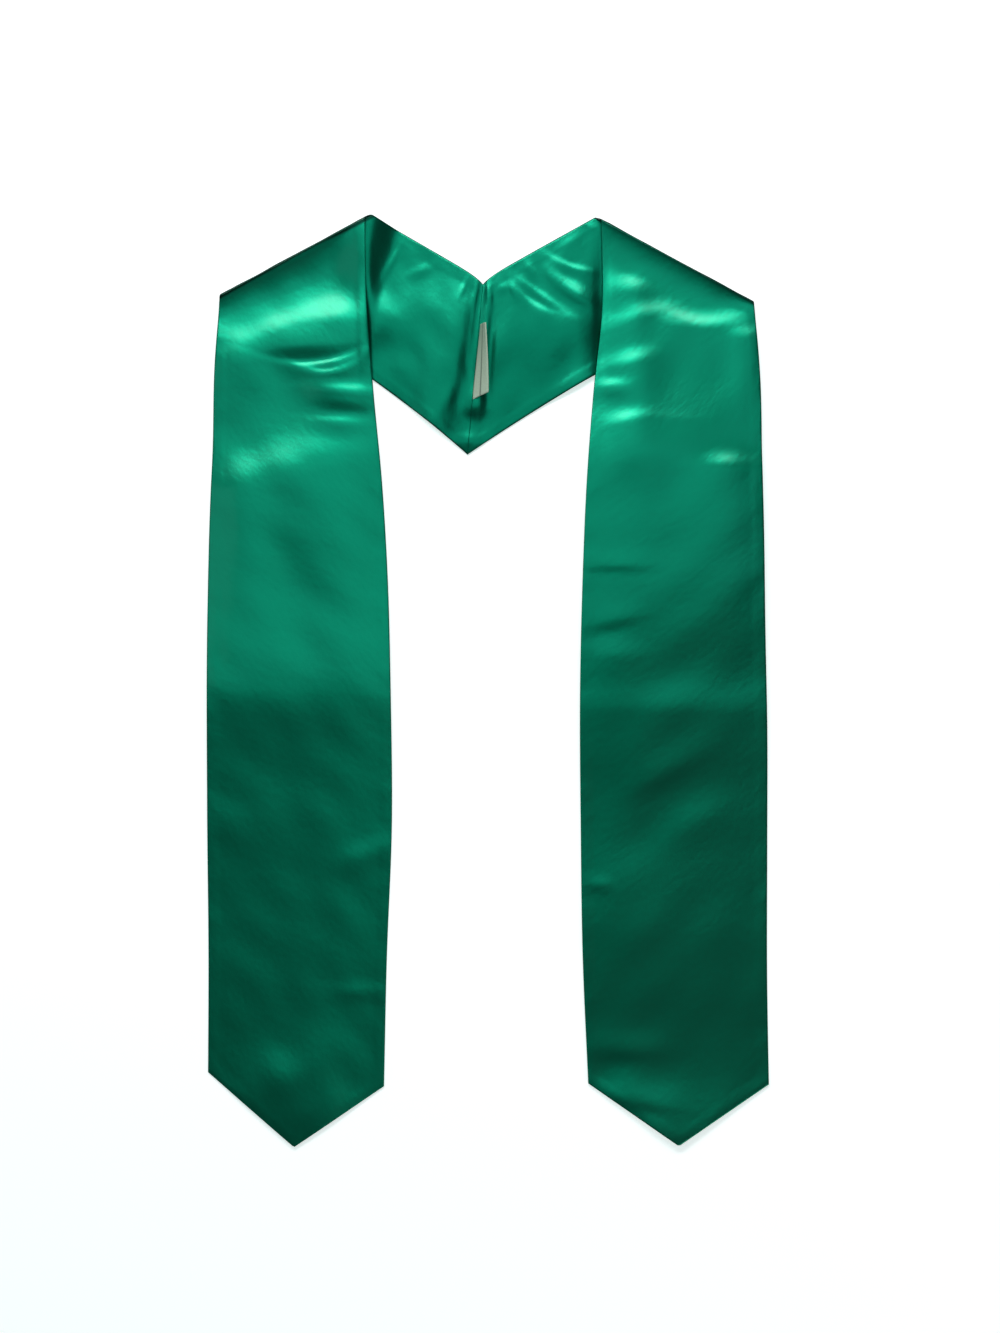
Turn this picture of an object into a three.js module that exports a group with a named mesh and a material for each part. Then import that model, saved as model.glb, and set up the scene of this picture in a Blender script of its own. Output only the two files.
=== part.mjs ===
import * as THREE from "three";

// A satin graduation stole, laid flat with its two front panels folded over the back yoke at the shoulders.
// Millimetres. X runs across, +Y points to the neck, +Z is up and the stole lies on z = 0.
// Each half is one long band, from the centre back seam, round the shoulder fold and down to its pointed hem.
// A band is two plies, face and lining, sewn round the edge and turned.

// Cloth
const plyThickness = 1;
const plyGap = 0.3; // between the face and the lining of one band
const layerGap = 0.4; // between a panel and the yoke that it lies on
const seamGap = 0.3; // between the two halves at the centre back
const edgeThickness = 0.5; // one ply where it turns in at a sewn edge
const edgeTurn = 2.5; // how far in from an edge a ply reaches its full thickness

// The stole as it lies
const laidLength = 642; // shoulder peak to hem point
const neckWidth = 157; // between the two shoulder peaks
const panelWidth = 127; // one band at its widest
const hemPoint = 45; // how far the point hangs below the hem's corners
const neckDepth = 47; // from the shoulder peaks down to the neck notch
const backSeamLength = 118;
const backSeamLean = 4.9; // degrees, foot of the seam to the left
const backSeamOffset = -4; // the neck notch, from the middle
const neckBow = 3; // how far the neck edge bulges above a straight line, close to the notch
const neckBowStart = 0.08; // share of the neck edge over which the bulge begins
const yokeBow = 8; // how far the yoke's lower edge hollows in

// Shoulder fold
const foldHollow = 2.05; // radius left open inside the roll
const foldLead = 4; // how far the yoke's neck edge passes the peak
const foldShift = 9.5; // how far the band steps outwards in its turn
const settleLength = 30; // from the fold to where the panel lies on the yoke
const bridgeStart = 6; // how far past the yoke's lower edge the panel begins to drop
const bridgeLength = 24; // from there to where it lies on the table
const pressLength = 25; // how far in front of a panel the yoke's billows die away
const seamHold = 13; // how far from the back seam they begin

// Billows
const billowHeight = 3;
const billowPress = 0.12; // share of it that presses flat on the table under the satin's own weight

// Care label, a folded strip sewn in the centre back seam
const labelLength = 52;
const labelWidth = 14;
const labelThickness = 1;
const labelFromNeck = 28;
const labelTopLean = 68; // degrees up from the table, at the end near the neck
const labelFootLean = 40;
const labelGap = 0.35; // between the label and the seam that it stands in

// Heights of a band's middle surface
const bandThickness = 2 * plyThickness + plyGap;
const tableHeight = bandThickness / 2;
const yokeTopHeight = tableHeight + bandThickness + layerGap;
const foldRadius = foldHollow + bandThickness / 2;
const foldTopHeight = tableHeight + 2 * foldRadius;
const foldReach = foldRadius + bandThickness / 2;

// How each half was laid, at its shoulder fold and its hem. peakOut is a share of neckWidth, peakDrop and
// tipLift of laidLength, hemSlant of panelWidth and pointShare of hemPoint; foldSlope is in degrees.
const folds = {
  left: { side: -1, peakOut: 0.52, peakDrop: 0, foldSlope: 27.9 },
  right: { side: 1, peakOut: 0.48, peakDrop: 0.002, foldSlope: 28.2 },
};
const hems = {
  left: { hemSlant: 0.076, tipLift: 0, pointShare: 1.04 },
  right: { hemSlant: -0.006, tipLift: 0.002, pointShare: 0.94 },
};

// The panel's outline. down runs from 0 at the fold to 1 at the hem's corners.
// width, and drift away from the middle of the fold, are shares of panelWidth.
const outlines = {
  left: [
    { down: 0, width: 0.79, drift: 0 },
    { down: 0.1, width: 0.828, drift: 0.01 },
    { down: 0.2, width: 0.874, drift: -0.003 },
    { down: 0.3, width: 0.935, drift: -0.017 },
    { down: 0.4, width: 0.973, drift: -0.027 },
    { down: 0.55, width: 0.997, drift: -0.035 },
    { down: 0.7, width: 1.001, drift: -0.038 },
    { down: 0.85, width: 0.969, drift: -0.027 },
    { down: 1, width: 0.956, drift: -0.018 },
  ],
  right: [
    { down: 0, width: 0.828, drift: 0 },
    { down: 0.1, width: 0.858, drift: 0.018 },
    { down: 0.2, width: 0.913, drift: -0.002 },
    { down: 0.3, width: 0.959, drift: -0.015 },
    { down: 0.4, width: 0.986, drift: -0.022 },
    { down: 0.55, width: 1.016, drift: -0.023 },
    { down: 0.7, width: 1.013, drift: -0.02 },
    { down: 0.85, width: 1.002, drift: -0.015 },
    { down: 1, width: 0.981, drift: 0.005 },
  ],
};

// Billows of a panel. out, counted from the panel's middle, and long and broad are shares of panelWidth;
// down is a share of laidLength from the top, high one of billowHeight; turn is in degrees, outer end up.
const panelBillows = {
  left: [
    { out: -0.05, down: 0.133, long: 0.55, broad: 0.15, high: 0.9, turn: 3 },
    { out: -0.26, down: 0.194, long: 0.3, broad: 0.08, high: 0.55, turn: -4 },
    { out: 0.08, down: 0.3, long: 0.42, broad: 0.2, high: 0.6, turn: -8 },
    { out: 0, down: 0.49, long: 0.7, broad: 0.42, high: 0.45, turn: -3 },
    { out: -0.3, down: 0.68, long: 0.3, broad: 0.14, high: 0.35, turn: -18 },
    { out: 0.2, down: 0.88, long: 0.45, broad: 0.2, high: 0.4, turn: -14 },
  ],
  right: [
    { out: 0.08, down: 0.125, long: 0.55, broad: 0.15, high: 0.9, turn: -4 },
    { out: -0.25, down: 0.165, long: 0.2, broad: 0.08, high: 0.4, turn: -10 },
    { out: -0.3, down: 0.228, long: 0.26, broad: 0.1, high: 0.5, turn: 8 },
    { out: 0.32, down: 0.275, long: 0.25, broad: 0.13, high: 0.4, turn: 0 },
    { out: 0, down: 0.47, long: 0.7, broad: 0.4, high: 0.45, turn: 4 },
    { out: -0.1, down: 0.64, long: 0.5, broad: 0.2, high: 0.3, turn: 12 },
    { out: -0.1, down: 0.9, long: 0.5, broad: 0.18, high: 0.35, turn: 6 },
  ],
};

// Billows of a yoke half. along runs from 0 at the back seam to 1 at the fold, across from 0 at the neck edge
// to 1 at the lower edge; long, which is along the band when turn is 0, and broad are shares of panelWidth.
const yokeBillows = {
  left: [
    { along: 0.22, across: 0.5, long: 0.13, broad: 0.5, high: 0.9, turn: 0 },
    { along: 0.5, across: 0.3, long: 0.22, broad: 0.2, high: 0.6, turn: 20 },
    { along: 0.48, across: 0.72, long: 0.16, broad: 0.16, high: 0.4, turn: 0 },
  ],
  right: [
    { along: 0.18, across: 0.45, long: 0.1, broad: 0.45, high: 1, turn: 0 },
    { along: 0.45, across: 0.35, long: 0.1, broad: 0.3, high: 0.7, turn: -30 },
    { along: 0.55, across: 0.75, long: 0.18, broad: 0.15, high: 0.4, turn: 0 },
  ],
};

// Where the meshes have their rows and columns. across is shared by yoke and panel.
const turnShare = edgeTurn / panelWidth;
const acrossSteps = [0, turnShare, 0.11, 0.22, 0.33, 0.44, 0.5, 0.56, 0.67, 0.78, 0.89, 1 - turnShare, 1];
const yokeSteps = [0, 0.028, 0.08, 0.15, 0.23, 0.32, 0.42, 0.53, 0.65, 0.82, 1];
const rollSteps = 6;
const panelRows = 28;
const rowCrowding = 1.35; // above 1 brings the panel's rows closer together near the fold
const labelRows = 10;
const labelFoldSides = 5; // round the label's folded edge, an odd number

const looks = {
  face: { color: 0x007859, roughness: 0.35, metalness: 0 },
  lining: { color: 0x007052, roughness: 0.38, metalness: 0 },
  label: { color: 0xd1d9c2, roughness: 0.7, metalness: 0 },
};

const radians = (degrees) => (degrees * Math.PI) / 180;
const mix = (a, b, share) => a + (b - a) * share;
const clamp = (value) => Math.min(1, Math.max(0, value));

// From 0 to 1 with a level start and end.
function ease(value) {
  const x = clamp(value);
  return x * x * (3 - 2 * x);
}

// A smooth curve through one column of a table, read at a value of its down column.
function readColumn(table, column, down) {
  const next = table.findIndex((row) => row.down > down);
  const i = next < 0 ? table.length - 2 : next - 1;
  const slope = (k) => {
    const before = table[Math.max(0, k - 1)];
    const after = table[Math.min(table.length - 1, k + 1)];
    return (after[column] - before[column]) / (after.down - before.down);
  };
  const span = table[i + 1].down - table[i].down;
  const x = clamp((down - table[i].down) / span);
  const rise = x * x * (3 - 2 * x);
  const start = x * (1 - x) * (1 - x) * span * slope(i);
  const end = -x * x * (1 - x) * span * slope(i + 1);
  return mix(table[i][column], table[i + 1][column], rise) + start + end;
}

// A rounded ridge: 1 at its middle, with u along it and v across it.
function ridge(u, v, long, broad, turn) {
  const along = u * Math.cos(radians(turn)) + v * Math.sin(radians(turn));
  const over = v * Math.cos(radians(turn)) - u * Math.sin(radians(turn));
  return Math.exp(-((along / long) ** 2) - (over / broad) ** 2);
}

// The middle surface of one half. Points are [out, y, z], with out counted away from the middle of the stole.
function makeHalf(name) {
  const lay = { ...folds[name], ...hems[name] };
  const outline = outlines[name];
  const top = laidLength / 2;
  const slope = radians(lay.foldSlope);
  const along = [Math.cos(slope), -Math.sin(slope)];
  const beyond = [Math.sin(slope), Math.cos(slope)];
  const peak = [lay.peakOut * neckWidth, top - lay.peakDrop * laidLength];
  const foldLength = (outline[0].width * panelWidth) / along[0];

  // A point on the fold's axis, counted from the peak outwards.
  const onAxis = (distance) => [
    peak[0] + distance * along[0] - foldReach * beyond[0],
    peak[1] + distance * along[1] - foldReach * beyond[1],
  ];
  const lowerStart = onAxis(-foldLead);
  const lowerEnd = onAxis(-foldLead + foldLength);
  const upperStart = onAxis(foldShift - foldLead);
  const upperEnd = onAxis(foldShift - foldLead + foldLength);

  const lean = radians(backSeamLean);
  const seam = (down) => [
    lay.side * (backSeamOffset - down * Math.sin(lean)) + seamGap / 2,
    top - neckDepth - down * Math.cos(lean),
  ];
  const notch = seam(0);
  const foot = seam(backSeamLength);

  const hemMiddle = -top + lay.tipLift * laidLength + lay.pointShare * hemPoint;
  const hemSlant = lay.hemSlant * panelWidth;
  const firstMiddle = (upperStart[0] + upperEnd[0]) / 2;
  const panelMiddle = (down) => firstMiddle + readColumn(outline, "drift", down) * panelWidth;
  const panelMean = panelMiddle(0.5);
  const neckEdge = lowerStart[0] - notch[0];

  // Height of the yoke's lower edge under a panel, as a function of out.
  const lowerEdge = (out) => {
    const share = (out - foot[0]) / (lowerEnd[0] - foot[0]);
    return mix(foot[1], lowerEnd[1], share) + yokeBow * 4 * share * (1 - share);
  };

  function yokePoint(w, t) {
    const neck = [mix(notch[0], lowerStart[0], w), mix(notch[1], lowerStart[1], w)];
    neck[1] += neckBow * (1 - w) * (1 - Math.exp(-w / neckBowStart));
    const lower = mix(foot[0], lowerEnd[0], w);
    const point = [mix(neck[0], lower, t), mix(neck[1], lowerEdge(lower), t)];
    let rise = 0;
    for (const row of yokeBillows[name]) {
      const u = (w - row.along) * neckEdge;
      const v = (row.across - t) * backSeamLength;
      rise += row.high * ridge(u, v, row.long * panelWidth, row.broad * panelWidth, row.turn);
    }
    // The seam holds the cloth down, and so does the panel that lies on it.
    const free = ease((w * neckEdge) / seamHold) * ease((peak[0] - foldReach - point[0]) / pressLength);
    return { at: [...point, tableHeight + billowHeight * rise * free], face: [0, 0, -1] };
  }

  function rollPoint(turn, t) {
    const angle = radians(mix(-90, 90, turn));
    const start = onAxis(-foldLead + foldShift * turn);
    const reach = foldRadius * Math.cos(angle);
    return {
      at: [
        start[0] + t * foldLength * along[0] + reach * beyond[0],
        start[1] + t * foldLength * along[1] + reach * beyond[1],
        tableHeight + foldRadius * (1 + Math.sin(angle)),
      ],
      face: [Math.cos(angle) * beyond[0], Math.cos(angle) * beyond[1], Math.sin(angle)],
    };
  }

  function panelHeight(out, y) {
    const fromFold = (upperStart[0] - out) * beyond[0] + (upperStart[1] - y) * beyond[1];
    const pastYoke = (lowerEdge(out) - y) * Math.cos(slope) - bridgeStart;
    const rest = mix(yokeTopHeight, tableHeight, ease(pastYoke / bridgeLength));
    const base = mix(foldTopHeight, rest, ease(fromFold / settleLength));
    let rise = 0;
    for (const row of panelBillows[name]) {
      const u = out - panelMean - row.out * panelWidth;
      const v = y - (top - row.down * laidLength);
      rise += row.high * ridge(u, v, row.long * panelWidth, row.broad * panelWidth, row.turn);
    }
    const lifted = Math.max(0, rise - billowPress);
    return base + billowHeight * lifted * ease(fromFold / settleLength);
  }

  function panelPoint(w, t) {
    const half = (readColumn(outline, "width", w) * panelWidth) / 2;
    const out = panelMiddle(w) + mix(-half, half, t);
    const inner = mix(upperStart[1], hemMiddle - hemSlant / 2, w);
    const outer = mix(upperEnd[1], hemMiddle + hemSlant / 2, w);
    const point = lay.pointShare * hemPoint * (1 - Math.abs(2 * t - 1)) * w * w;
    const y = mix(inner, outer, t) - point;
    return { at: [out, y, panelHeight(out, y)], face: [0, 0, 1] };
  }

  const rows = [];
  yokeSteps.forEach((w) => rows.push((t) => yokePoint(w, t)));
  for (let i = 1; i < rollSteps; i++) rows.push((t) => rollPoint(i / rollSteps, t));
  const lastFull = 1 - edgeTurn / (laidLength - hemPoint);
  for (let i = 0; i <= panelRows; i++) {
    const w = lastFull * (i / panelRows) ** rowCrowding;
    rows.push((t) => panelPoint(w, t));
  }
  rows.push((t) => panelPoint(1, t));
  return { side: lay.side, rows, seam };
}

// One ply as a closed sheet, on the side of the middle surface that towards names: 1 for face, -1 for lining.
// Its inner skin keeps half of plyGap to that surface, and its outer skin comes closer at the sewn edges.
function plyGeometry(half, towards) {
  const positions = [];
  const lastRow = half.rows.length - 1;
  const lastColumn = acrossSteps.length - 1;
  for (const layer of [0, 1]) {
    half.rows.forEach((row, i) => {
      acrossSteps.forEach((t, j) => {
        const { at, face } = row(t);
        const sewn = i === 0 || i === lastRow || j === 0 || j === lastColumn;
        const shift = towards * (plyGap / 2 + layer * (sewn ? edgeThickness : plyThickness));
        const [out, y, z] = at.map((value, axis) => value + shift * face[axis]);
        positions.push(half.side * out, y, z);
      });
    });
  }
  const columns = acrossSteps.length;
  const index = (layer, i, j) => layer * half.rows.length * columns + i * columns + j;
  const quads = [];
  for (let i = 0; i < lastRow; i++) {
    for (let j = 0; j < lastColumn; j++) {
      quads.push([index(1, i, j), index(1, i, j + 1), index(1, i + 1, j + 1), index(1, i + 1, j)]);
      quads.push([index(0, i, j), index(0, i + 1, j), index(0, i + 1, j + 1), index(0, i, j + 1)]);
    }
  }
  for (let i = 0; i < lastRow; i++) {
    quads.push([index(0, i, 0), index(1, i, 0), index(1, i + 1, 0), index(0, i + 1, 0)]);
    const j = lastColumn;
    quads.push([index(0, i, j), index(0, i + 1, j), index(1, i + 1, j), index(1, i, j)]);
  }
  for (let j = 0; j < lastColumn; j++) {
    quads.push([index(0, 0, j), index(0, 0, j + 1), index(1, 0, j + 1), index(1, 0, j)]);
    const i = lastRow;
    quads.push([index(0, i, j), index(1, i, j), index(1, i, j + 1), index(0, i, j + 1)]);
  }
  return closedGeometry(positions, quads);
}

// Triangles from quads, turned so that every face of the closed body points outwards.
function closedGeometry(positions, quads) {
  const triangles = quads.flatMap(([a, b, c, d]) => [[a, b, c], [a, c, d]]);
  const corner = (k) => new THREE.Vector3(...positions.slice(3 * k, 3 * k + 3));
  const volume = triangles.reduce((sum, [a, b, c]) => sum + corner(a).dot(corner(b).cross(corner(c))), 0);
  const order = volume < 0 ? triangles.map(([a, b, c]) => [a, c, b]) : triangles;
  const geometry = new THREE.BufferGeometry();
  geometry.setAttribute("position", new THREE.Float32BufferAttribute(positions, 3));
  geometry.setIndex(order.flat());
  geometry.computeVertexNormals();
  return geometry;
}

// The care label: a folded strip that stands in the back seam and leans to the right, further at its foot.
function labelGeometry(half) {
  const seat = tableHeight + plyGap / 2 + edgeThickness + labelGap;
  const round = labelThickness / 2;
  const flat = labelWidth - round;
  const section = [[0, -round], [flat, -round]];
  for (let k = 1; k < labelFoldSides; k++) {
    const angle = radians(mix(-90, 90, k / labelFoldSides));
    section.push([flat + round * Math.cos(angle), round * Math.sin(angle)]);
  }
  section.push([flat, round], [0, round]);

  const positions = [];
  for (let i = 0; i <= labelRows; i++) {
    const share = i / labelRows;
    const [out, y] = half.seam(labelFromNeck + share * labelLength);
    const lean = radians(mix(labelTopLean, labelFootLean, ease(share)));
    for (const [reach, side] of section) {
      const x = half.side * out + reach * Math.cos(lean) - side * Math.sin(lean);
      positions.push(x, y, seat + (side + round) * Math.cos(lean) + reach * Math.sin(lean));
    }
  }

  const quads = [];
  const count = section.length;
  const last = labelRows * count;
  for (let i = 0; i < last; i += count) {
    for (let k = 0; k < count; k++) {
      const next = (k + 1) % count;
      quads.push([i + k, i + next, i + count + next, i + count + k]);
    }
  }
  for (let k = 0; k < count / 2 - 1; k++) {
    const across = count - 1 - k;
    quads.push([k, across, across - 1, k + 1]);
    quads.push([last + k, last + k + 1, last + across - 1, last + across]);
  }
  return closedGeometry(positions, quads);
}

const stole = new THREE.Group();

function addPiece(name, geometry, look) {
  const piece = new THREE.Mesh(geometry, new THREE.MeshStandardMaterial(look));
  piece.name = name;
  stole.add(piece);
}

for (const name of ["left", "right"]) {
  const half = makeHalf(name);
  addPiece(`${name}_face`, plyGeometry(half, 1), looks.face);
  addPiece(`${name}_lining`, plyGeometry(half, -1), looks.lining);
}
addPiece("care_label", labelGeometry(makeHalf("right")), looks.label);

export default stole;
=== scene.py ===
from math import atan2, cos, pi, radians, sin

import bpy
import numpy as np
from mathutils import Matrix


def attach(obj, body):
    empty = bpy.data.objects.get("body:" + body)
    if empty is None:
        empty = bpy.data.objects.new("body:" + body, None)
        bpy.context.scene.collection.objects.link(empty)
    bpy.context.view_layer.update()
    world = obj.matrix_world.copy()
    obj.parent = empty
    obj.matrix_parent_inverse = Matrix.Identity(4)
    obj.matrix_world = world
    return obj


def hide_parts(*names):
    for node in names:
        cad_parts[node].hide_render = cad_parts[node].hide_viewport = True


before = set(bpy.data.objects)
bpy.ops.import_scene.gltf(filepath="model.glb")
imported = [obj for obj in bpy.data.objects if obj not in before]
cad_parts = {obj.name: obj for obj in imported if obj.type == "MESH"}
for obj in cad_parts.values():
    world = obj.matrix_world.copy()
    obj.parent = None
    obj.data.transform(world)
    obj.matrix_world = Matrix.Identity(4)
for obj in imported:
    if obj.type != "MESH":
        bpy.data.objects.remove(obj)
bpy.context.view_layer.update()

mm = 0.001

# The stole as it lies, in metres. The main sizes are those of the solids, and the plies are thinner.
stole = {
    "length": 0.642,  # shoulder peak to hem point
    "neckWidth": 0.157,  # between the two peaks
    "panelWidth": 0.127,
    "hemPoint": 0.045,
    "neckDepth": 0.047,
    "seamLength": 0.118,
    "seamLean": 5.2,  # degrees
    "seamOffset": -0.0034,  # the neck notch, from the middle
    "seamGap": 0.00002,  # between the two halves
    "neckBow": 0.003,  # how far the neck edge bulges above a straight line
    "neckBowStart": 0.08,  # share of the neck edge over which the bulge begins
    "hemAngle": 35,  # degrees, about how steep the two edges of the hem are
    "thick": 0.0013,  # both plies
    "layerGap": 0.0006,  # between a panel and the yoke that it lies on
    "foldLead": 0.00175,  # how far inwards of the peak the band's neck edge meets the fold
    "foldShift": 0.0054,  # how far the band steps outwards in its turn
    "foldDepth": 0.0002,  # the crease is pressed, so it stands up more than it reaches out
    "crease": 0.0022,  # how quickly the panel first falls away from the crease
    "creaseShare": 0.14,  # share of the height that is lost there
    "settlePower": 1.7,  # how early the rest of the height goes on the way to level
    "bridge": 0.100,  # from the yoke's lower edge to where the panel lies on the table
    "peakIn": 1.1,  # how quickly the raised neck edge falls away, inwards and down
    "peakDown": 0.4,
    "peakUnder": 0.02,  # how far it reaches under the panel
}
# Over what lengths the ridges fade in
fade = {
    "seam": 0.004,
    "panel": 0.010,  # ends at panelPast outwards of the peak, under the panel
    "panelPast": 0.006,
    "fold": 0.008,
    "seamRidges": 0.03,
    "settled": 1.4,  # the panel's ridges, in settle lengths from the fold
}
# Where the edges are pressed hard, a darker line is painted in as shade
shadeAlongEdges = {
    "fold": 0.0011,
    "seam": 0.0009,
    "onYoke": 0.75,  # how strongly
    "onPanel": 0.2,
}
relief = 1.05  # how much higher all the ridges stand than the tables say
tableHeight = stole["thick"] / 2
restHeight = tableHeight + stole["thick"] + stole["layerGap"]
creaseReach = stole["foldDepth"] + stole["thick"] / 2
top = stole["length"] / 2

# How each half lies. The outline's columns are the place down the panel, as a share of its length, and the
# width and drift there, as shares of panelWidth. Ridges are in millimetres and degrees: x, y, long,
# upper side, lower side, high, turn, bend.
leftHalf = {
    "side": -1,
    "peakOut": 0.52,  # share of neckWidth
    "peakDrop": 0,  # share of length
    "foldSlope": 27.9,  # degrees down to the outer edge
    "hemSlant": 0.076,  # how much higher the hem's outer corner is, as a share of panelWidth
    "tipLift": 0,  # share of length
    "pointShare": 1.04,  # share of hemPoint
    "pointAt": 0.511,  # share of the width, from the neck side
    "yokeBow": 0.008,  # how far the yoke's lower edge hollows in
    "foldTop": (0.0098, 0.0054),  # height of the fold at the neck and at the outer edge
    "settle": (0.030, 0.013),  # from the fold to where the panel lies level, at the same two
    "peakLift": 0.0074,  # how high the neck edge stands at the peak, and how far that reaches
    "peakReach": 0.031,
    "outline": [
        (0, 0.79, 0), (0.1, 0.828, 0.01), (0.2, 0.874, -0.003), (0.3, 0.935, -0.017), (0.4, 0.973, -0.027),
        (0.55, 0.997, -0.035), (0.7, 1.001, -0.038), (0.85, 0.969, -0.027), (1, 0.956, -0.018),
    ],
    "panelRidges": [
        (-177, 233, 32, 13, 70, 1.7, -8, 0),
        (-136, 243, 30, 13, 60, 1.2, 16, -3),
        (-124, 233, 34, 24, 9, 2.2, 2, 0),
        (-94, 246, 24, 19, 60, 3.5, 0, 0),
        (-172, 219, 22, 13, 40, 1.9, 0, 0),
        (-86, 244, 34, 3, 8, 0.9, 91, 0),
        (-112, 218, 32, 2.8, 12, 1.25, 9, 5.8),
        (-110, 212, 20, 2.5, 12, 1.1, 5, 5.5),
        (-101, 199, 24, 6, 14, 2.3, -4, 0),
        (-99, 192, 15, 3, 3, 0.25, -8, 0),
        (-102, 178, 20, 4.5, 8, 1.15, -4, 0),
        (-167, 131, 28, 26, 100, 5.1, 6, 0),
        (-125, 142, 29, 32, 100, 6.4, 12, 0),
        (-90, 156, 26, 20, 90, 2.3, 0, 0),
        (-178, 30, 36, 90, 140, 2.5, 0, 0),
        (-130, -6, 76, 60, 30, 1.8, 0, 0),
        (-134, -10, 90, 60, 85, 3.6, 0, 0),
        (-166, -97, 38, 16, 30, 0.6, -5, 0),
        (-82, -119, 20, 9, 10, 0.7, 20, 0),
        (-86, -214, 20, 6, 6, 0.45, 0, 0),
        (-138, -279, 46, 25, 60, 2.6, 26, 0),
        (-118, -300, 26, 14, 14, 0.9, 20, 0),
    ],
    "yokeRidges": [
        (-67, 288, 12, 2, 2, 0.4, 62, 0),
        (-46, 283, 10, 4, 3.5, 0.3, 22, 0),
        (-80, 246, 15, 21, 15, 2.5, 22, 0),
        (-46, 250, 28, 24, 40, 2.3, 10, 0),
        (-61, 214, 24, 11, 18, 0.8, 0, 0),
        (-38, 180, 16, 36, 40, 3.5, 0, 0),
        (-21, 232, 42, 14, 8, 2.3, 80, 0),
        (-30, 193, 18, 4, 5, 0.5, 62, 0),
        (-9, 266, 9, 2, 2, 0.4, 76, 0),
        (-17, 271, 6, 1.6, 2, 0.3, 68, 0),
    ],
}
rightHalf = {
    "side": 1,
    "peakOut": 0.48,
    "peakDrop": 0.002,
    "foldSlope": 28.2,
    "hemSlant": -0.006,
    "tipLift": 0.002,
    "pointShare": 0.94,
    "pointAt": 0.5,
    "yokeBow": 0.006,
    "foldTop": (0.0070, 0.0044),
    "settle": (0.028, 0.008),
    "peakLift": 0.0008,
    "peakReach": 0.020,
    "outline": [
        (0, 0.828, 0), (0.1, 0.858, 0.018), (0.2, 0.913, -0.002), (0.3, 0.959, -0.015), (0.4, 0.986, -0.022),
        (0.55, 1.016, -0.023), (0.7, 1.013, -0.02), (0.85, 1.002, -0.015), (1, 0.981, 0.005),
    ],
    "panelRidges": [
        (101, 247, 26, 10, 110, 1.5, 20, 0),
        (128, 250, 14, 10, 110, 0.9, -22, 0),
        (149, 242, 34, 10, 110, 1.8, 3, 7),
        (99, 267, 14, 12, 60, 2.3, 0, 0),
        (85, 250, 42, 3.5, 9, 1.2, 88, 0),
        (178, 235, 12, 10, 40, 1.7, 0, 0),
        (130, 173, 110, 45, 80, 2.6, 0, 0),
        (98, 217, 19, 10, 45, 2.1, 16, 0),
        (86, 202, 13, 6, 7, 1.1, 0, 0),
        (98, 178, 16, 8, 45, 1.4, 13, 0),
        (108, 152, 62, 34, 90, 4.9, 10, 0),
        (124, 181, 17, 3, 4, 0.15, 0, 0),
        (167, 145, 25, 11, 90, 2.6, -3, 0),
        (198, 130, 90, 34, 30, 2.2, 90, 0),
        (125, 45, 120, 100, 110, 7.2, 0, 0),
        (88, 80, 22, 9, 3.5, 0.4, 0, 0),
        (86, 42, 18, 12, 4.5, 0.55, 14, 0),
        (150, 48, 46, 40, 26, 0.6, 5, 0),
        (88, 16, 22, 12, 22, 0.9, 0, 0),
        (127, -22, 76, 18, 60, 1.5, 0, 0),
        (118, -64, 26, 14, 8, 0.7, 29, 0),
        (152, -97, 26, 14, 24, 0.8, 30, 0),
        (104, -160, 70, 45, 80, 1.9, 30, 0),
        (77, -140, 8, 5, 5, 0.4, 0, 0),
        (94, -254, 24, 12, 6, 0.7, 0, 0),
        (100, -288, 26, 14, 6, 1.0, -8, 0),
        (138, -324, 90, 44, 14, 4.1, 0, 0),
        (108, -314, 30, 20, 10, 1.4, 0, 0),
    ],
    "yokeRidges": [
        (36, 266, 19, 2.5, 3.5, 0.5, -36, 0),
        (30, 260, 17, 2.5, 6, 0.6, -36, 3),
        (58, 268, 23, 6, 5, 1.2, -34, 3.5),
        (57, 285, 18, 2.6, 4, 0.55, -19, 2.5),
        (29, 284, 6, 3, 3, 0.4, -58, 0),
        (11, 271, 4, 3.5, 3, 0.3, 0, 0),
        (66, 201, 18, 14, 24, 2.8, 26, 0),
        (46, 245, 26, 12, 22, 1.5, -10, 0),
        (7, 236, 41, 5, 16, 1.8, 87, 0),
        (17, 270, 6, 1.6, 2, 0.35, 112, 0),
        (60, 250, 60, 44, 16, 3.1, 90, 0),
        (1, 266, 9, 2, 2, 0.4, 97, 0),
    ],
}

# Ridges that run over the back seam from one half into the other
seamRidges = [
    (-3, 228, 42, 9, 4, 2.4, 84.8, 0),
    (-9, 190, 8, 12, 6.5, 1.7, 0, 0),
    (-13, 166, 12, 6, 7, 1.1, 0, 0),
]

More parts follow.
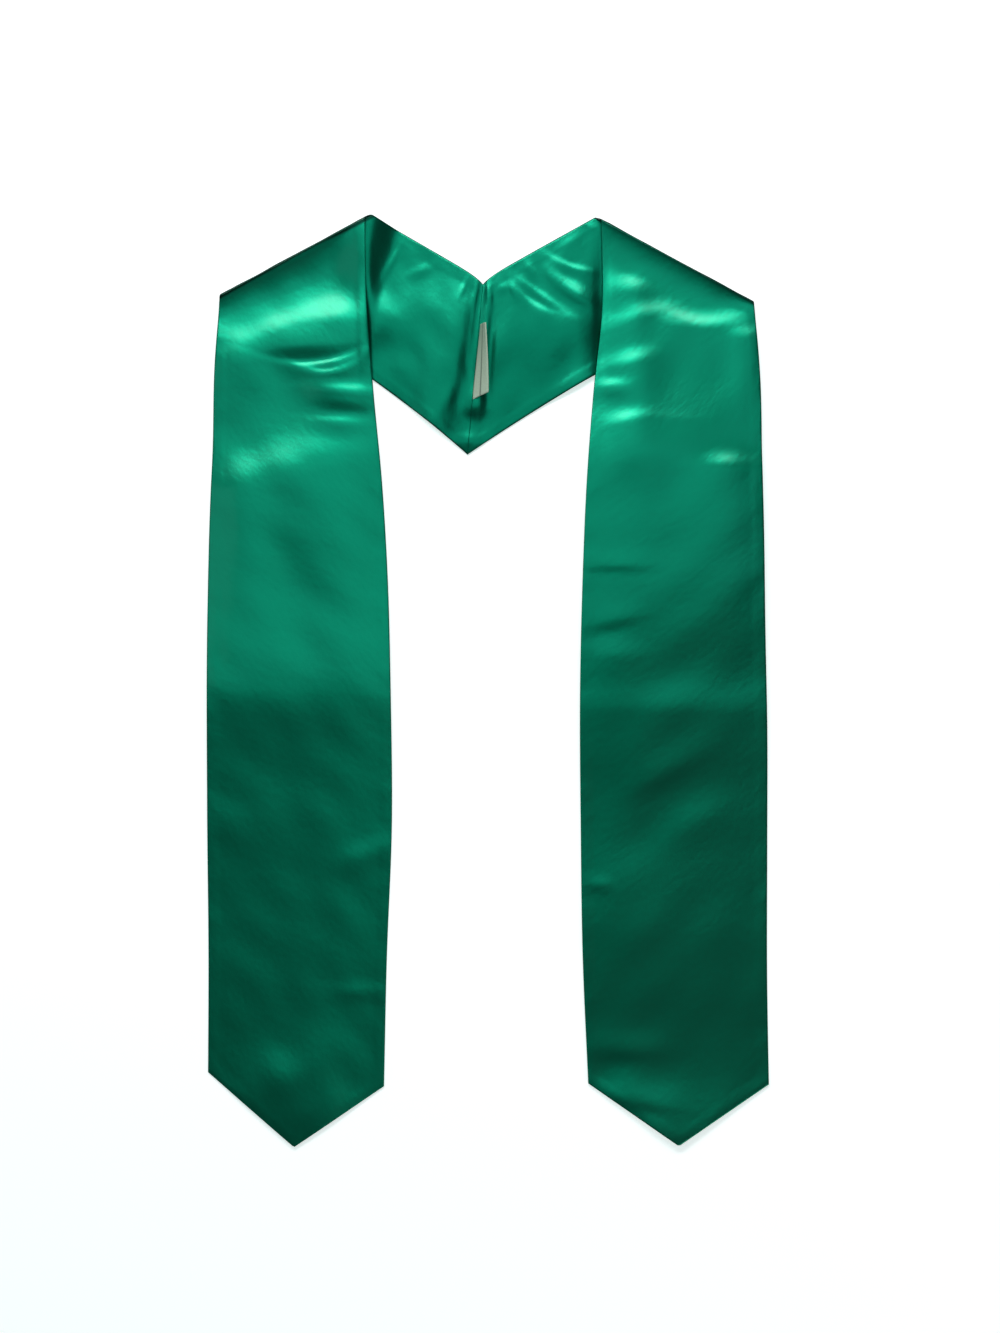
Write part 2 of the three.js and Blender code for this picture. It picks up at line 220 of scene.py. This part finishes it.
# How fine the cloth is modelled, and its edges
cloth = {
    "yokeRows": 110,
    "rollRows": 14,
    "panelRows": 320,
    "columns": 78,
    "panelPace": 1.2,  # the panel's rows lie closer together near the fold
    "edge": 0.0011,  # radius of the turned edge
    "edgeRows": (0, 0.12, 0.3, 0.55, 0.85, 1.3),  # rows in from a turned edge, in those radii
    "firstEven": 2.2,  # where the even columns begin, in radii
    "nextRow": 1.7,  # where the yoke's even rows begin, in steps as long as the edge rows together
    "hemSpread": 1.1,  # the hem's edge rows lie a little wider, since the hem slants
    "edgeThick": 0.0003,  # of one ply, at the very edge
    "seamTurn": 0.7,  # share of the edge's turn that is left out at the back seam
    "plyGap": 0.00008,  # between the two plies
    "allowance": 0.007,  # the seam allowance that shows through
    "allowanceStep": 0.0016,
    "imprint": 0.0001,
    "pucker": 0.00012,
    "puckerLength": 0.011,
    "puckerDepth": 0.010,  # how far in they reach
    "puckerStart": 1.5,  # how far in they are whole, in radii
    "cockle": (0.03, 0.4),  # wavelength of the broader puckers and their share
    "swell": (0.045, 0.0003),  # wavelength and height of the slow waves
    "liningSwell": (0.030, 0.0005),
    "swellStart": 0.01,  # how far in from the edges they are whole
    "waves": 7,  # sine waves in each sum
    "waveSpread": (0.7, 1.6),  # shortest and longest of them, in wavelengths
    "seeds": {"pucker": 5, "cockle": 9, "swell": 21},
}


def mix(a, b, share):  # a, plus the share of the way to b
    return a + (b - a) * share


def ease(x):  # from 0 to 1 with a level start and end: three squares less two cubes
    x = np.clip(x, 0, 1)
    return x * x * (3 - 2 * x)


def smoothCurve(table, column, x):  # cubic through one column of a table, with the slopes between neighbours
    t = np.array(table)
    slopes = np.gradient(t[:, column], t[:, 0])
    i = np.clip(np.searchsorted(t[:, 0], x, side="right") - 1, 0, len(t) - 2)
    span = t[i + 1, 0] - t[i, 0]
    s = (x - t[i, 0]) / span
    ends = mix(t[i, column], t[i + 1, column], s * s * (3 - 2 * s))
    return ends + span * (s * (1 - s) ** 2 * slopes[i] - s * s * (1 - s) * slopes[i + 1])


def ridges(x, y, table):  # the sum of bells: one along each ridge, and across it one whose two sides differ
    z = np.zeros_like(x)
    for cx, cy, length, upper, lower, high, turn, bend in table:
        a = radians(turn)
        u = ((x / mm - cx) * cos(a) + (y / mm - cy) * sin(a)) / length
        v = (y / mm - cy) * cos(a) - (x / mm - cx) * sin(a) - bend * u * u
        z += relief * high * mm * np.exp(-u * u - (v / np.where(v > 0, upper, lower)) ** 2)
    return z


def waviness(u, v, seed, wave, high):  # slow swell: a few sine waves of random direction and phase
    rng = np.random.default_rng(seed)
    count = cloth["waves"]
    turns = rng.uniform(0, pi, count)
    phases = rng.uniform(0, 2 * pi, count)
    sizes = rng.uniform(*cloth["waveSpread"], count)
    z = np.zeros_like(u)
    for turn, phase, size in zip(turns, phases, sizes):
        z += np.sin((u * cos(turn) + v * sin(turn)) * 2 * pi / (wave * size) + phase)
    return z * high / count


def edgedSteps(count, length, edge):  # shares of a length, even but closer together at both turned edges
    near = np.array(cloth["edgeRows"]) * edge / length
    firstEven = cloth["firstEven"] * edge / length
    even = np.linspace(firstEven, 1 - firstEven, count - 2 * len(near))
    return np.concatenate([near, even, 1 - near[::-1]])


def bandSurface(half):
    # The band's middle surface, rows from seam to hem and columns from neck edge to outer edge.
    # Yoke rows are straight from the neck edge to the lower edge, roll rows go half round the fold's axis,
    # and panel rows turn from the fold's slant to the hem's point. Heights are a base that falls from fold
    # to yoke to table, plus the ridges.
    s, side = stole, half["side"]
    slope, lean = radians(half["foldSlope"]), radians(s["seamLean"])
    along, beyond = np.array([cos(slope), -sin(slope)]), np.array([sin(slope), cos(slope)])
    peak = np.array([half["peakOut"] * s["neckWidth"], top - half["peakDrop"] * s["length"]])
    foldLength = half["outline"][0][1] * s["panelWidth"] / along[0]

    def onAxis(distance):  # the peak, plus a distance along the fold, less the crease's reach across it
        return peak + distance * along - creaseReach * beyond

    def seam(down):  # the neck notch, plus a distance down the leaning seam
        out = side * (s["seamOffset"] - down * sin(lean)) + s["seamGap"] / 2
        return np.array([out, top - s["neckDepth"] - down * cos(lean)])

    lower, upper = onAxis(-s["foldLead"]), onAxis(s["foldShift"] - s["foldLead"])
    lowerEnd, upperEnd = lower + foldLength * along, upper + foldLength * along
    notch, foot = seam(0), seam(s["seamLength"])

    def yokeEdge(out):  # the yoke's lower edge: a straight line plus a parabola that is 0 at both ends
        share = (out - foot[0]) / (lowerEnd[0] - foot[0])
        return mix(foot[1], lowerEnd[1], share) + half["yokeBow"] * 4 * share * (1 - share)

    # t runs across the band, w along the yoke and p down the panel
    t = edgedSteps(cloth["columns"], s["panelWidth"], cloth["edge"])[None, :]
    halfNeck = s["neckWidth"] / 2
    near = np.array(cloth["edgeRows"]) * cloth["edge"] / halfNeck
    even = np.linspace(near[-1] * cloth["nextRow"], 1, cloth["yokeRows"] - len(near))
    w = np.concatenate([near, even])[:, None]

    neckX, neckY = mix(notch[0], lower[0], w), mix(notch[1], lower[1], w)
    neckY = neckY + s["neckBow"] * (1 - w) * (1 - np.exp(-w / s["neckBowStart"]))
    lowX = mix(foot[0], lowerEnd[0], w)
    yokeX, yokeY = mix(neckX, lowX, t), mix(neckY, yokeEdge(lowX), t)
    fromPeak = (lower[0] - yokeX) * beyond[0] + (lower[1] - yokeY) * beyond[1]
    # free is 0 where the yoke is held, at the seam, under the panel and at the fold, and 1 between them
    free = ease(w * halfNeck / fade["seam"])
    free = free * ease((peak[0] + fade["panelPast"] - yokeX) / fade["panel"])
    free = free * ease(fromPeak / fade["fold"])
    foldTop = mix(half["foldTop"][0], half["foldTop"][1], t)

    def peakRise(x, below):
        # The neck edge stands up at the peak. It eases away inwards and down, and ends as a bell outwards.
        inwards = peak[0] - x
        fall = 1 - ease((s["peakDown"] * below + s["peakIn"] * np.maximum(inwards, 0)) / half["peakReach"])
        return half["peakLift"] * fall * np.exp(-((np.minimum(inwards, 0) / s["peakUnder"]) ** 2))

    yokeRise = peakRise(yokeX, np.maximum(fromPeak, 0))
    yokeZ = tableHeight + free * np.maximum(ridges(side * yokeX, yokeY, half["yokeRidges"]), 0) + yokeRise
    yokeZ = yokeZ + ridges(side * yokeX, yokeY, seamRidges) * ease(fromPeak / fade["seamRidges"])

    turn = np.linspace(0, 1, cloth["rollRows"] + 1)[1:-1, None]
    angle = pi * turn - pi / 2
    radius = (foldTop - tableHeight - yokeRise[-1:]) / 2
    start = -s["foldLead"] + s["foldShift"] * turn + t * foldLength
    reach = np.cos(angle) * s["foldDepth"] - creaseReach
    rollX = peak[0] + start * along[0] + reach * beyond[0]
    rollY = peak[1] + start * along[1] + reach * beyond[1]
    rollZ = foldTop - radius * (1 - np.sin(angle))

    hemNear = np.array(cloth["edgeRows"])[::-1] * cloth["edge"] / s["length"] * cloth["hemSpread"]
    steps = np.linspace(0, 1, cloth["panelRows"] + 1 - len(hemNear)) ** cloth["panelPace"]
    p = np.concatenate([steps[:-1] * (1 - 2 * hemNear[0]), 1 - hemNear])[:, None]
    width = smoothCurve(half["outline"], 1, p) * s["panelWidth"]
    middle = (upper[0] + upperEnd[0]) / 2 + smoothCurve(half["outline"], 2, p) * s["panelWidth"]
    panelX = middle + width * (t - 0.5)
    hemMiddle = -top + half["tipLift"] * s["length"] + half["pointShare"] * s["hemPoint"]
    slant = half["hemSlant"] * s["panelWidth"] / 2
    point = np.minimum(t / half["pointAt"], (1 - t) / (1 - half["pointAt"]))
    point = half["pointShare"] * s["hemPoint"] * point * p * p
    panelY = mix(mix(upper[1], hemMiddle - slant, p), mix(upperEnd[1], hemMiddle + slant, p), t) - point

    fromFold = (upper[0] - panelX) * beyond[0] + (upper[1] - panelY) * beyond[1]
    settle = mix(half["settle"][0], half["settle"][1], t)
    pastYoke = (yokeEdge(panelX) - panelY) * cos(slope)
    rest = mix(restHeight, tableHeight, ease(pastYoke / s["bridge"]))
    rest = rest + peakRise(panelX, np.maximum(fromFold, 0))
    rise = np.maximum(ridges(side * panelX, panelY, half["panelRidges"]), 0)
    level = 1 - (1 - np.clip(fromFold / settle, 0, 1)) ** s["settlePower"]
    level = mix(level, 1 - np.exp(-np.maximum(fromFold, 0) / s["crease"]), s["creaseShare"])
    panelZ = mix(foldTop, rest, level) + rise * ease(fromFold / settle * fade["settled"])

    x = np.concatenate([yokeX, rollX, panelX])
    y = np.concatenate([yokeY, rollY, panelY])
    z = np.concatenate([yokeZ, rollZ, panelZ])
    middleSurface = np.stack([side * x, y, z], axis=2)

    # Distances to the sewn edges, and the cloth's own coordinates for its weave
    step = np.linalg.norm(np.diff(middleSurface, axis=0), axis=2)
    length = np.concatenate([np.zeros((1, step.shape[1])), np.cumsum(step, axis=0)])
    cross = np.linalg.norm(np.diff(middleSurface, axis=1), axis=2)
    width = np.concatenate([np.zeros((cross.shape[0], 1)), np.cumsum(cross, axis=1)], axis=1)
    toSide = np.minimum(width, width[:, -1:] - width)
    toHem = (length[-1:] - length) * cos(radians(s["hemAngle"]))
    toEnd = np.minimum(length + cloth["edge"] * cloth["seamTurn"], toHem)
    # Painted shade where the edges are pressed hard: round the fold and along the neck, and less along the
    # other seams
    foldMiddle = length[cloth["yokeRows"]] / 2 + length[cloth["yokeRows"] + cloth["rollRows"] - 2] / 2
    pastFold = np.maximum(np.abs(length - foldMiddle) - half["foldTop"][0] / 2, 0)
    folded = np.exp(-((pastFold / shadeAlongEdges["fold"]) ** 2))
    onYoke = (np.arange(len(x)) < cloth["yokeRows"])[:, None] & (toSide < toEnd)
    sewn = np.exp(-((np.minimum(toSide, toEnd) / shadeAlongEdges["seam"]) ** 2))
    sewn = np.where(onYoke, shadeAlongEdges["onYoke"], shadeAlongEdges["onPanel"]) * sewn
    edgeShade = np.maximum(folded, sewn)
    return {
        "middle": middleSurface, "side": side, "toSide": toSide, "toEnd": toEnd,
        "across": width, "along": length, "edgeShade": edgeShade,
    }


def skin(band, towards):
    # One ply's outer and inner surface. The inner one is the middle surface moved along its normal by half
    # the ply gap. The outer one adds the ply's thickness, which shrinks on a quarter ellipse at the turned
    # edges. The allowance stands proud of that by a low step, puckers run in from the edges and die away,
    # and slow waves fill the rest.
    m = band["middle"]
    normal = np.cross(np.gradient(m, axis=1), np.gradient(m, axis=0))
    normal /= np.linalg.norm(normal, axis=2, keepdims=True)
    normal *= -band["side"] * towards
    edge = np.minimum(band["toSide"], band["toEnd"])
    full = stole["thick"] / 2 - cloth["plyGap"] / 2
    near = np.clip(edge / cloth["edge"], 0, 1)
    thick = mix(cloth["edgeThick"], full, np.sqrt(1 - (1 - near) ** 2))
    imprint = cloth["imprint"] * (1 - ease((edge - cloth["allowance"]) / cloth["allowanceStep"]))
    u, v = band["across"], band["along"]
    run = np.where(band["toSide"] < band["toEnd"], v, u)
    seeds = cloth["seeds"]
    broad, share = cloth["cockle"]
    ripple = waviness(run, 0 * run, seeds["pucker"] + towards, cloth["puckerLength"], 1)
    ripple = ripple + share * waviness(u, v, seeds["cockle"], broad, 1)
    fading = cloth["pucker"] * np.exp(-((edge / cloth["puckerDepth"]) ** 2))
    ripple *= fading * ease(edge / cloth["edge"] / cloth["puckerStart"])
    wave, high = cloth["swell"] if towards > 0 else cloth["liningSwell"]
    slow = waviness(u, v, seeds["swell"] + band["side"], wave, high) * ease(edge / cloth["swellStart"])
    raised = (imprint + ripple + slow) * near
    outer = m + normal * (cloth["plyGap"] / 2 + thick + raised)[..., None]
    inner = m + normal * (cloth["plyGap"] / 2)
    outer[..., 2] = np.maximum(outer[..., 2], 0)
    return outer, inner


def gridFaces(rows, columns, first, flip):  # quads between neighbouring rows and columns
    i = first + np.arange(rows - 1)[:, None] * columns + np.arange(columns - 1)[None, :]
    quads = np.stack([i, i + 1, i + columns + 1, i + columns], axis=2).reshape(-1, 4)
    return quads[:, ::-1] if flip else quads


def meshPiece(name, points, quads, uv, uvName, material):  # uv gives each point its place on the flat cloth
    mesh = bpy.data.meshes.new(name)
    mesh.vertices.add(len(points))
    mesh.vertices.foreach_set("co", np.asarray(points, dtype=np.float32).ravel())
    mesh.loops.add(quads.size)
    mesh.loops.foreach_set("vertex_index", quads.astype(np.int32).ravel())
    mesh.polygons.add(len(quads))
    mesh.polygons.foreach_set("loop_start", np.arange(len(quads), dtype=np.int32) * 4)
    mesh.polygons.foreach_set("loop_total", np.full(len(quads), 4, dtype=np.int32))
    layer = mesh.uv_layers.new(name=uvName)
    layer.data.foreach_set("uv", uv[quads.ravel()].astype(np.float32).ravel())
    mesh.update(calc_edges=True)
    mesh.validate()
    mesh.shade_smooth()
    piece = bpy.data.objects.new(name, mesh)
    bpy.context.collection.objects.link(piece)
    mesh.materials.append(material)
    return piece


def plyPiece(name, band, towards, material):
    # A closed sheet: the outer skin, the inner skin and four walls between them.
    outer, inner = skin(band, towards)
    rows, columns = outer.shape[:2]
    points = np.concatenate([outer.reshape(-1, 3), inner.reshape(-1, 3)])
    flip = band["side"] * towards < 0
    count = rows * columns
    grid = np.arange(count).reshape(rows, columns)
    border = np.concatenate([grid[0, :], grid[1:, -1], grid[-1, -2::-1], grid[-2:0:-1, 0]])
    following = np.roll(border, -1)
    wall = np.stack([border, border + count, following + count, following], axis=1)
    if flip:
        wall = wall[:, ::-1]
    outerQuads = gridFaces(rows, columns, 0, flip)
    innerQuads = gridFaces(rows, columns, count, not flip)
    quads = np.concatenate([outerQuads, innerQuads, wall])
    uv = np.stack([band["across"], band["along"]], axis=2).reshape(-1, 2)
    piece = meshPiece(name, points, quads, np.concatenate([uv, uv]), "cloth", material)
    # the painted shade along the fold and the sewn edges, kept for the material
    edgeShade = band["edgeShade"].ravel()
    layer = piece.data.attributes.new("edgeShade", "FLOAT", "POINT")
    layer.data.foreach_set("value", np.concatenate([edgeShade, edgeShade]).astype(np.float32))
    return piece


# The satin of the faces; the linings change a few of its values
satin = {
    "color": (0.0, 0.30, 0.172),
    "shade": (0.0, 0.26, 0.146),
    # painted shade: the dark green of the line along the fold and the sewn edges
    "edgeShaded": (0.0, 0.035, 0.02),  # where the edges are pressed hard
    "clouds": 9.0,  # scale of the dye's slow variation
    "roughness": 0.37,
    "coat": 0.28,
    "coatRoughness": 0.18,
    "metallic": 0.94,
    "anisotropic": 0.6,
    "yarn": 0.00022,  # metres from one yarn to the next
    "floatStep": 0.25,  # the weave changes this much more slowly along a yarn
    "weave": 0.08,  # strength of its bump
    "weaveDepth": 0.00005,
    "crinkle": 0.0001,  # depth of the faint crinkles
    "crinkleSize": 0.005,
}


def addNode(tree, kind, **values):  # a node with its sockets and settings given by name
    node = tree.nodes.new(kind)
    for key, value in values.items():
        if key in node.inputs:
            node.inputs[key].default_value = value
        else:
            setattr(node, key, value)
    return node


def satinMaterial(name, values):
    material = bpy.data.materials.new(name)
    material.use_nodes = True
    tree = material.node_tree
    shader = tree.nodes["Principled BSDF"]
    cover = addNode(tree, "ShaderNodeUVMap", uv_map="cloth")
    # slow variation of the dye
    cloud = addNode(tree, "ShaderNodeTexNoise", Scale=values["clouds"], Detail=3.0)
    tree.links.new(cover.outputs["UV"], cloud.inputs["Vector"])
    tone = addNode(tree, "ShaderNodeMix", data_type="RGBA")
    tone.inputs["A"].default_value = (*values["shade"], 1)
    tone.inputs["B"].default_value = (*values["color"], 1)
    tree.links.new(cloud.outputs["Fac"], tone.inputs["Factor"])
    # painted shade: deeper green where the edges are pressed
    edgeShade = addNode(tree, "ShaderNodeAttribute", attribute_name="edgeShade")
    edgeShaded = addNode(tree, "ShaderNodeMix", data_type="RGBA")
    edgeShaded.inputs["B"].default_value = (*values["edgeShaded"], 1)
    tree.links.new(edgeShade.outputs["Fac"], edgeShaded.inputs["Factor"])
    tree.links.new(tone.outputs["Result"], edgeShaded.inputs["A"])
    tree.links.new(edgeShaded.outputs["Result"], shader.inputs["Base Color"])
    # the long floats of the weave
    weave = addNode(tree, "ShaderNodeMapping")
    weave.inputs["Scale"].default_value = (1 / values["yarn"], values["floatStep"] / values["yarn"], 1)
    tree.links.new(cover.outputs["UV"], weave.inputs["Vector"])
    floats = addNode(tree, "ShaderNodeTexNoise", Scale=1.0, Detail=1.0)
    tree.links.new(weave.outputs["Vector"], floats.inputs["Vector"])
    bump = addNode(tree, "ShaderNodeBump", Strength=values["weave"], Distance=values["weaveDepth"])
    tree.links.new(floats.outputs["Fac"], bump.inputs["Height"])
    # faint crinkles that break up the sheen
    crush = addNode(tree, "ShaderNodeTexNoise", Scale=1 / values["crinkleSize"], Detail=2.0)
    tree.links.new(cover.outputs["UV"], crush.inputs["Vector"])
    crinkle = addNode(tree, "ShaderNodeBump", Strength=1.0, Distance=values["crinkle"])
    tree.links.new(crush.outputs["Fac"], crinkle.inputs["Height"])
    tree.links.new(crinkle.outputs["Normal"], bump.inputs["Normal"])
    tree.links.new(bump.outputs["Normal"], shader.inputs["Normal"])
    tangent = addNode(tree, "ShaderNodeTangent", direction_type="UV_MAP", uv_map="cloth")
    tree.links.new(tangent.outputs["Tangent"], shader.inputs["Tangent"])
    shader.inputs["Roughness"].default_value = values["roughness"]
    shader.inputs["Metallic"].default_value = values["metallic"]
    shader.inputs["Anisotropic"].default_value = values["anisotropic"]
    shader.inputs["Coat Weight"].default_value = values["coat"]
    shader.inputs["Coat Roughness"].default_value = values["coatRoughness"]
    return material


faceSatin = satinMaterial("satinFace", satin)
# The lining's darker colours are painted shade that dims the yoke.
liningSatin = satinMaterial("satinLining", {
    **satin,
    "color": (0.0, 0.20, 0.114),
    "shade": (0.0, 0.175, 0.1),
    "roughness": 0.32,
    "coat": 0.1,
    "anisotropic": 0.1,
})

halves = {"left": leftHalf, "right": rightHalf}
for halfName, half in halves.items():
    band = bandSurface(half)
    for plyName, towards, material in (("face", 1, faceSatin), ("lining", -1, liningSatin)):
        node = f"{halfName}_{plyName}"
        ply = plyPiece(f"{node}_satin", band, towards, material)
        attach(ply, "root")
        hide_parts(node)
        print(f"{ply.name}: {len(ply.data.polygons)} faces")

# The care label: a folded strip standing in the back seam
label = {
    "length": 0.052,
    "width": 0.014,
    "thick": 0.0009,
    "fromNeck": 0.028,
    "topLean": 76,  # degrees up from the table
    "footLean": 38,
    "twist": 0.0045,  # how far the free edge runs ahead at the foot
    "seat": 0.0028,  # height of the sewn edge
    "aside": 0.0010,  # how far the top stands to the right of the seam
    "rows": 60,
    "flatPoints": 12,
    "bendPoints": 9,
    "thread": ((0.50, 0.56, 0.42, 1), (0.70, 0.76, 0.62, 1)),  # darkest and lightest
    "grain": 900.0,
    "ribs": 520.0,
    "ribDepth": 0.00008,
    "ribStrength": 0.5,
    "ribWobble": 0.6,
    "stripe": 0.0015,
    "stripeEdge": (0.3, 0.6),  # where it begins and ends to fade, as shares of that
    "stripeStrength": 0.75,
    "stripeColor": (0.16, 0.17, 0.14, 1),
    "roughness": 0.7,
}


def labelPiece(material):
    # A flattened loop carried along the seam: each row is the same round-ended section, and it leans further
    # over than the row before.
    halfThick = label["thick"] / 2
    bend = np.linspace(-pi / 2, pi / 2, label["bendPoints"])
    straight = label["width"] - halfThick
    flat = np.linspace(0, straight, label["flatPoints"])
    section = np.concatenate([
        np.stack([flat, np.full_like(flat, -halfThick)], axis=1),
        np.stack([straight + halfThick * np.cos(bend), halfThick * np.sin(bend)], axis=1)[1:-1],
        np.stack([flat[::-1], np.full_like(flat, halfThick)], axis=1),
    ])
    share = np.linspace(0, 1, label["rows"])[:, None]
    lean = np.radians(mix(label["topLean"], label["footLean"], share))
    down = label["fromNeck"] + share * label["length"]
    tilt = radians(stole["seamLean"])
    x = stole["seamOffset"] - down * sin(tilt) + label["aside"] * (1 - share)
    reach, side = section[None, :, 0], section[None, :, 1]
    y = top - stole["neckDepth"] - down * cos(tilt) + label["twist"] * share * reach / label["width"]
    # Out by the lean's cosine and up by its sine, with the thickness square to the lean
    points = np.stack([
        x + reach * np.cos(lean) - side * np.sin(lean),
        y,
        label["seat"] + (side + halfThick) * np.cos(lean) + reach * np.sin(lean),
    ], axis=2)
    rows, columns = points.shape[:2]
    index = np.arange(rows * columns).reshape(rows, columns)
    ahead = np.roll(index, -1, axis=1)
    body = np.stack([index[:-1], ahead[:-1], ahead[1:], index[1:]], axis=2).reshape(-1, 4)
    pairs = np.arange(columns // 2 - 1)
    cap = np.stack([pairs, columns - 1 - pairs, columns - 2 - pairs, pairs + 1], axis=1)
    quads = np.concatenate([body, cap, (cap + (rows - 1) * columns)[:, ::-1]])
    uv = np.stack(np.broadcast_arrays(reach, down), axis=2).reshape(-1, 2)
    return meshPiece("care_label_ribbon", points.reshape(-1, 3), quads, uv, "ribbon", material)


def ribbonMaterial():
    material = bpy.data.materials.new("labelRibbon")
    material.use_nodes = True
    tree = material.node_tree
    shader = tree.nodes["Principled BSDF"]
    cover = addNode(tree, "ShaderNodeUVMap", uv_map="ribbon")
    noise = addNode(tree, "ShaderNodeTexNoise", Scale=label["grain"])
    tree.links.new(cover.outputs["UV"], noise.inputs["Vector"])
    ramp = addNode(tree, "ShaderNodeValToRGB")
    ramp.color_ramp.elements[0].color = label["thread"][0]
    ramp.color_ramp.elements[1].color = label["thread"][1]
    tree.links.new(noise.outputs["Fac"], ramp.inputs["Fac"])
    # a plain grey stripe woven down the middle
    apart = addNode(tree, "ShaderNodeSeparateXYZ")
    tree.links.new(cover.outputs["UV"], apart.inputs["Vector"])
    away = addNode(tree, "ShaderNodeMath", operation="SUBTRACT")
    away.inputs[1].default_value = label["width"] / 2
    tree.links.new(apart.outputs["X"], away.inputs[0])
    distance = addNode(tree, "ShaderNodeMath", operation="ABSOLUTE")
    tree.links.new(away.outputs["Value"], distance.inputs[0])
    stripe = addNode(tree, "ShaderNodeMapRange", interpolation_type="SMOOTHSTEP")
    stripe.inputs["From Min"].default_value = label["stripeEdge"][0] * label["stripe"]
    stripe.inputs["From Max"].default_value = label["stripeEdge"][1] * label["stripe"]
    stripe.inputs["To Min"].default_value = label["stripeStrength"]
    stripe.inputs["To Max"].default_value = 0
    tree.links.new(distance.outputs["Value"], stripe.inputs["Value"])
    striped = addNode(tree, "ShaderNodeMix", data_type="RGBA")
    striped.inputs["B"].default_value = label["stripeColor"]
    tree.links.new(stripe.outputs["Result"], striped.inputs["Factor"])
    tree.links.new(ramp.outputs["Color"], striped.inputs["A"])
    tree.links.new(striped.outputs["Result"], shader.inputs["Base Color"])
    # ribs across the tape
    ribs = addNode(tree, "ShaderNodeTexWave", bands_direction="Y", Scale=label["ribs"])
    ribs.inputs["Distortion"].default_value = label["ribWobble"]
    tree.links.new(cover.outputs["UV"], ribs.inputs["Vector"])
    bump = addNode(tree, "ShaderNodeBump", Strength=label["ribStrength"], Distance=label["ribDepth"])
    tree.links.new(ribs.outputs["Fac"], bump.inputs["Height"])
    tree.links.new(bump.outputs["Normal"], shader.inputs["Normal"])
    shader.inputs["Roughness"].default_value = label["roughness"]
    return material


ribbon = labelPiece(ribbonMaterial())
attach(ribbon, "root")
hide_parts("care_label")
print("care label made")

# Studio: a pale floor, a bright soft light past the shoulders, a broad one overhead and four weak ones. The
# overhead's near edge makes the change from light to dark at the middle of the panels.
studio = {
    "floor": (0.86, 0.86, 0.86),
    "floorSize": 8,
    "floorDrop": 0.0002,
    "floorRoughness": 0.9,
    "glow": 0.6,  # the floor's own light, which keeps it white
    "world": 0.05,
    "sensor": 36,
    "cameraHeight": 2.0,
    "photoScale": 0.69 * mm,  # metres to a pixel of the photograph
    "photoMiddle": (8.3 * mm, 10.4 * mm),
    "photoHeight": 1333,
}
lights = [
    # name, place, aim, size across and along, watts, colour
    ("key", (-0.1, 0.96, 1.2), (0, 0.1, 0), (1.3, 0.26), 14, (1, 1, 1)),
    ("overhead", (0.12, 0.33, 2.3), (0.12, 0.33, 0), (1.8, 0.72), 5.1, (0.15, 1, 0.97)),
    ("leftSoft", (-1.0, 0.2, 1.25), (0, 0.1, 0), (0.4, 0.9), 1.3, (0.4, 1, 1)),
    ("leftFill", (-1.3, -0.6, 0.6), (0, -0.2, 0), (0.6, 0.6), 0.5, (1, 1, 1)),
    ("rightFill", (0.7, -0.9, 0.7), (0.1, -0.2, 0), (0.5, 0.5), 2, (1, 1, 1)),
    ("lowerRight", (0.42, -0.5, 2.3), (0.42, -0.5, 0), (0.64, 0.9), 0.2, (1, 1, 1)),
]


def makeStudio():
    scene = bpy.context.scene
    scene.view_settings.view_transform = "Standard"
    world = bpy.data.worlds.new("studioWorld")
    world.use_nodes = True
    world.node_tree.nodes["Background"].inputs["Color"].default_value = (1, 1, 1, 1)
    world.node_tree.nodes["Background"].inputs["Strength"].default_value = studio["world"]
    scene.world = world
    bpy.ops.mesh.primitive_plane_add(size=studio["floorSize"], location=(0, 0, -studio["floorDrop"]))
    floor = bpy.context.object
    floor.name = "floor"
    paper = bpy.data.materials.new("floorPaper")
    paper.use_nodes = True
    shader = paper.node_tree.nodes["Principled BSDF"]
    shader.inputs["Base Color"].default_value = (*studio["floor"], 1)
    shader.inputs["Roughness"].default_value = studio["floorRoughness"]
    shader.inputs["Emission Color"].default_value = (1, 1, 1, 1)
    shader.inputs["Emission Strength"].default_value = studio["glow"]
    floor.data.materials.append(paper)
    for name, place, aim, size, watts, tint in lights:
        lamp = bpy.data.lights.new(name, "AREA")
        lamp.shape = "RECTANGLE"
        lamp.size, lamp.size_y = size
        lamp.energy = watts
        lamp.color = tint
        holder = bpy.data.objects.new(name, lamp)
        holder.location = place
        dx, dy, dz = (b - a for a, b in zip(place, aim))
        flatWay = (dx * dx + dy * dy) ** 0.5
        holder.rotation_euler = (pi / 2 - atan2(-dz, flatWay), 0, atan2(-dx, dy)) if flatWay else (0, 0, 0)
        bpy.context.collection.objects.link(holder)
    lens = bpy.data.cameras.new("camera")
    lens.sensor_width = studio["sensor"]
    lens.lens = studio["sensor"] * studio["cameraHeight"] / (studio["photoHeight"] * studio["photoScale"])
    eye = bpy.data.objects.new("camera", lens)
    eye.location = (*studio["photoMiddle"], studio["cameraHeight"])
    bpy.context.collection.objects.link(eye)
    scene.camera = eye


makeStudio()
print("studio made")
